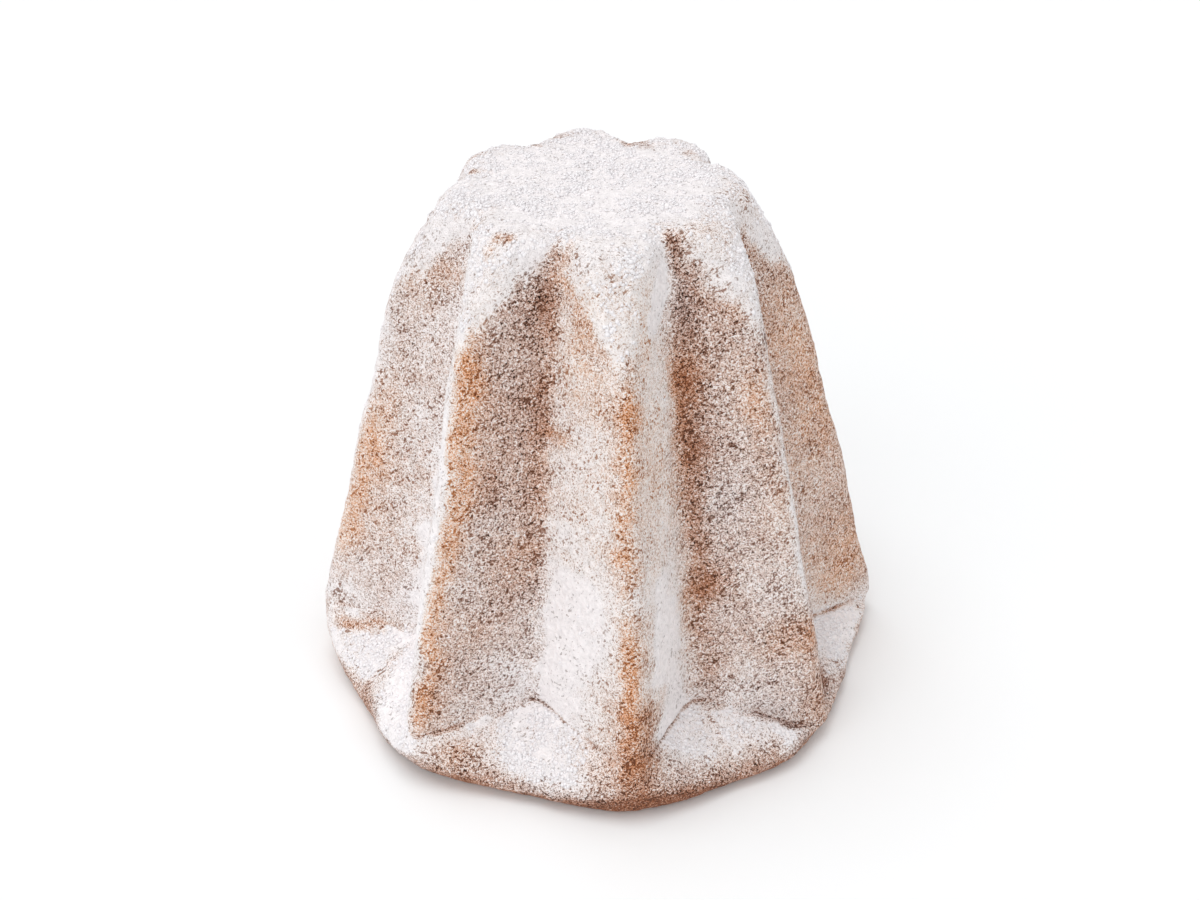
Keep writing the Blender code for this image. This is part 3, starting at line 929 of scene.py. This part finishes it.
# Noise in the sugar: cells to the metre, detail and distortion
GRAIN = (1350.0, 1.0, 0.5)
SPECK = (2700.0, 0.0, 0.0)
HOLLOW = (1050.0, 1.0, 0.4)
CLUMP = (600.0, 1.0, 0.3)
PATCH = (210.0, 1.0, 0.4)
CROWD = (126.0, 1.0, 0.0)
PORE_SCALE = 820.0
PORE_RADII = (0.10, 0.34)
GRAIN_STRENGTH = 1.9
SPECK_STRENGTH = 1.3
PORE_DEPTH = 0.22
GAP_STRETCH = 1.6
GAP_SLANT = 35.0
GAP_SHARPNESS = 20.0
GAP_DEPTH = 0.6
GAP_START = (0.664, 0.645)              # noise over which a gap opens: in thick sugar, elsewhere
GAP_START_BARE = -0.045                 # and its change on bare crust
GAP_CROWDING = -0.40
BUMP_STRENGTH = 0.4
BUMP_DISTANCE = 0.0007
BARE_SUGAR = (0.45, 1.0)                # sugar over which the bareness falls from 1 to 0
GAP_FADE = (0.0, 0.2)                   # bareness over which gaps take on their full effect
GAP_SUGAR_LOSS = (-0.12, -0.48)
# painted shade in the gaps, where the sugar is thick and where it is thin
GAP_SHADE = (-0.34, -0.26)
ORANGE_FADE = (0.0, 0.15)               # bareness over which toasted crust shows its full colour
ORANGE_SHARE = (0.25, 1.0)
PATCH_SHARE = 0.24                      # what patches, grains and pores add to the sugar
GRAIN_SHARE = 0.52
PORE_SHARE = 0.45
# painted shading of the lumps: how much the clump noise lightens and darkens the colour
CLUMP_PAINTED_SHADING = 0.34
TEXTURE_BUMP = (0.6, 1.3)               # in thick sugar, elsewhere
CLUMP_BUMP = (4.6, 3.0)
THIN = (0.0, 0.06)                      # bareness over which thick sugar turns into the common cover
SUGAR_COLOUR = (250, 247, 249)
SUGAR_ROUGHNESS = 0.9


def linear(colour):
    def channel(byte):
        value = byte / 255
        return value / 12.92 if value <= 0.04045 else ((value + 0.055) / 1.055) ** 2.4

    return tuple(channel(byte) for byte in colour) + (1.0,)


def sugar_texture(n, place):
    """Grains over zero, and pores under it."""
    cells = n.add("ShaderNodeTexVoronoi", {"feature": "F1"}, Vector=place, Scale=PORE_SCALE,
                  Randomness=1.0)
    pore = n.spread(cells.outputs["Distance"], *PORE_RADII, 1.0, 0.0)
    specks = n.math("MULTIPLY", n.centred(place, *SPECK), SPECK_STRENGTH)
    texture = n.math("MULTIPLY_ADD", n.centred(place, *GRAIN), GRAIN_STRENGTH, specks)
    return n.math("MULTIPLY_ADD", pore, -PORE_DEPTH, n.math("ADD", texture, PORE_DEPTH / 4))


def dark_gaps(n, place, bareness):
    """Short dark gaps in the sugar, drawn out along a slanting line, 0 to 1."""
    slant = n.add("ShaderNodeMapping", {"vector_type": "TEXTURE"}, Vector=place,
                  Rotation=(0.0, math.radians(-GAP_SLANT), 0.0), Scale=(GAP_STRETCH, 1.0, 1.0))
    start = n.math("MULTIPLY_ADD", bareness, GAP_START_BARE, n.spread(bareness, *THIN, *GAP_START))
    start = n.math("MULTIPLY_ADD", n.centred(place, *CROWD), GAP_CROWDING, start)
    hollow = n.noise(slant.outputs[0], *HOLLOW)
    return n.math("MULTIPLY", n.math("SUBTRACT", hollow, start), GAP_SHARPNESS, clamp=True)


def dusting_ramp(n, amount, crust):
    """Colours along the amount of sugar on one crust of DUSTING: 1 plain, 2 toasted."""
    ramp = n.add("ShaderNodeValToRGB", None, Fac=amount)
    stops = ramp.color_ramp.elements
    while len(stops) < len(DUSTING):
        stops.new(0.5)
    # all positions come before the colours, because the stops sort themselves by position
    for stop, row in zip(stops, DUSTING):
        stop.position = row[0]
    for stop, row in zip(stops, DUSTING):
        stop.color = linear(row[crust])
    return ramp.outputs["Color"]


def sugared_crust():
    n = Nodes("sugared_crust")
    place = n.add("ShaderNodeTexCoord").outputs["Object"]
    sugar, toast = n.attribute("sugar"), n.attribute("toast")
    bareness = n.spread(sugar, *BARE_SUGAR, 1.0, 0.0, smooth=False)
    texture = sugar_texture(n, place)
    clump, patch = n.centred(place, *CLUMP), n.centred(place, *PATCH)
    gap = dark_gaps(n, place, bareness)

    # grains stand out white, and the pores between them show the crust
    depth = n.math("MULTIPLY_ADD", n.math("POWER", bareness, 0.6), 1.42, 0.07)
    deep = n.math("MULTIPLY", texture, depth)
    grains, pores = n.math("MAXIMUM", deep, 0.0), n.math("MINIMUM", deep, 0.0)
    amount = n.math("MULTIPLY_ADD", patch, PATCH_SHARE, sugar)
    amount = n.math("MULTIPLY_ADD", grains, GRAIN_SHARE, amount)
    amount = n.math("MULTIPLY_ADD", pores, PORE_SHARE, amount)
    showing = n.spread(bareness, *GAP_FADE, *GAP_SUGAR_LOSS)
    amount = n.math("MULTIPLY_ADD", gap, showing, amount)

    # painted shade: pores and gaps darken the colours of the ramps, as shade in the hollows, and clumps
    # lighten and darken them as painted shading of the lumps
    pore_painted_shade = n.math("MULTIPLY_ADD", toast, -0.6, 1.35)
    light = n.math("MULTIPLY_ADD", pores, pore_painted_shade, 1.0)
    light = n.math("MULTIPLY_ADD", clump, CLUMP_PAINTED_SHADING, light)
    gap_painted_shade = n.math("MULTIPLY_ADD", gap, n.spread(bareness, *GAP_FADE, *GAP_SHADE), 1.0)
    light = n.math("MULTIPLY", light, gap_painted_shade)

    # thick sugar, grains and gaps in little toasted crust take the orange away
    orange = n.math("MULTIPLY", toast, n.math("MULTIPLY_ADD", grains, -0.4, 1.0, clamp=True))
    fading = n.math("MULTIPLY_ADD", toast, 0.7, -0.6)
    orange = n.math("MULTIPLY", orange, n.math("MULTIPLY_ADD", gap, fading, 1.0))
    orange = n.math("MULTIPLY", orange, n.spread(bareness, *ORANGE_FADE, *ORANGE_SHARE))

    ramps = [dusting_ramp(n, amount, crust) for crust in (1, 2)]
    colour = n.add("ShaderNodeVectorMath", {"operation": "SCALE"}, i0=n.mix(orange, *ramps), Scale=light)
    n.feed(n.shader.inputs["Base Color"], colour.outputs[0])
    n.feed(n.shader.inputs["Roughness"], n.spread(amount, 0.0, 0.6, 0.62, 0.95))
    n.feed(n.shader.inputs["Specular IOR Level"], 0.25)

    height = n.math("MULTIPLY", texture, n.spread(bareness, *THIN, *TEXTURE_BUMP))
    height = n.math("MULTIPLY_ADD", clump, n.spread(bareness, *THIN, *CLUMP_BUMP), height)
    height = n.math("MULTIPLY_ADD", gap, -GAP_DEPTH, height)
    bump = n.add("ShaderNodeBump", Strength=BUMP_STRENGTH, Distance=BUMP_DISTANCE, Height=height)
    n.feed(n.shader.inputs["Normal"], bump.outputs["Normal"])
    return n.material


def plain(name, colour, roughness):
    n = Nodes(name)
    n.feed(n.shader.inputs["Base Color"], colour)
    n.feed(n.shader.inputs["Roughness"], roughness)
    n.feed(n.shader.inputs["Specular IOR Level"], 0.2)
    return n.material


# ---------------------------------------------------------------- the pieces
cake, shift = cake_piece("sugared_cake")
cake.data.materials.append(sugared_crust())
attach(cake, "root")
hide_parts("pandoro")

clumps = sugar_lumps("sugar_clumps", cake)
clumps.data.materials.append(plain("sugar", linear(SUGAR_COLOUR), SUGAR_ROUGHNESS))
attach(clumps, "root")

# ---------------------------------------------------------------- floor, light and camera
FLOOR_HALF = 6.0
FLOOR_DROP = 0.2 * MM
FLOOR_COLOUR = (0.968, 0.98, 0.99, 1.0)
FLOOR_ROUGHNESS = 0.9
WORLD_STRENGTH = 0.65
WHITE = (1.0, 1.0, 1.0, 1.0)
# Each soft box: strength, then in degrees its height over the floor, its azimuth from the
# camera's and how wide it looks. A negative azimuth is to the left in the picture.
SOFT_BOXES = {
    "softbox_over": (1.00, 76, -116, 46),
    "softbox_front": (0.61, 30, -28, 60),
}
CAMERA_TURN = -6.91                     # azimuth in degrees, so a little towards -X from ridge 0
CAMERA_AWAY = 479.5 * MM
CAMERA_HEIGHT = 382.1 * MM
CAMERA_ASIDE = 1.05 * MM
CAMERA_DOWN = math.degrees(0.561)
FOCAL_LENGTH = 46.74
SENSOR_WIDTH = 36.0
CLIP_START = 0.01


def floor_piece(name):
    corners = [
        (x * FLOOR_HALF, y * FLOOR_HALF, -FLOOR_DROP) for x, y in ((-1, -1), (1, -1), (1, 1), (-1, 1))
    ]
    mesh = bpy.data.meshes.new(name)
    mesh.from_pydata(corners, [], [(0, 1, 2, 3)])
    mesh.materials.append(plain("floor_white", FLOOR_COLOUR, FLOOR_ROUGHNESS))
    piece = bpy.data.objects.new(name, mesh)
    bpy.context.scene.collection.objects.link(piece)
    return piece


def studio_world():
    world = bpy.data.worlds.new("studio")
    world.use_nodes = True
    background = world.node_tree.nodes["Background"]
    background.inputs["Color"].default_value = WHITE
    background.inputs["Strength"].default_value = WORLD_STRENGTH
    return world


def soft_box(name, strength, elevation, side, angle):
    data = bpy.data.lights.new(name, "SUN")
    data.energy = strength
    data.angle = math.radians(angle)
    light = bpy.data.objects.new(name, data)
    bpy.context.scene.collection.objects.link(light)
    turn, high = math.radians(CAMERA_TURN + side), math.radians(elevation)
    level = math.cos(high)
    to_light = Vector((level * math.sin(turn), -level * math.cos(turn), math.sin(high)))
    light.rotation_euler = to_light.to_track_quat("Z", "Y").to_euler()


def photo_camera():
    data = bpy.data.cameras.new("camera")
    data.lens = FOCAL_LENGTH
    data.sensor_width = SENSOR_WIDTH
    data.clip_start = CLIP_START
    camera = bpy.data.objects.new("camera", data)
    bpy.context.scene.collection.objects.link(camera)
    turn = math.radians(CAMERA_TURN)
    camera.location = (
        CAMERA_ASIDE * math.cos(turn) + CAMERA_AWAY * math.sin(turn) + shift[0],
        CAMERA_ASIDE * math.sin(turn) - CAMERA_AWAY * math.cos(turn) + shift[1],
        CAMERA_HEIGHT,
    )
    camera.rotation_euler = (math.radians(90 - CAMERA_DOWN), 0.0, turn)
    return camera


floor = floor_piece("floor")

scene = bpy.context.scene
scene.view_settings.view_transform = "Standard"
scene.world = studio_world()
for name, values in SOFT_BOXES.items():
    soft_box(name, *values)
scene.camera = photo_camera()
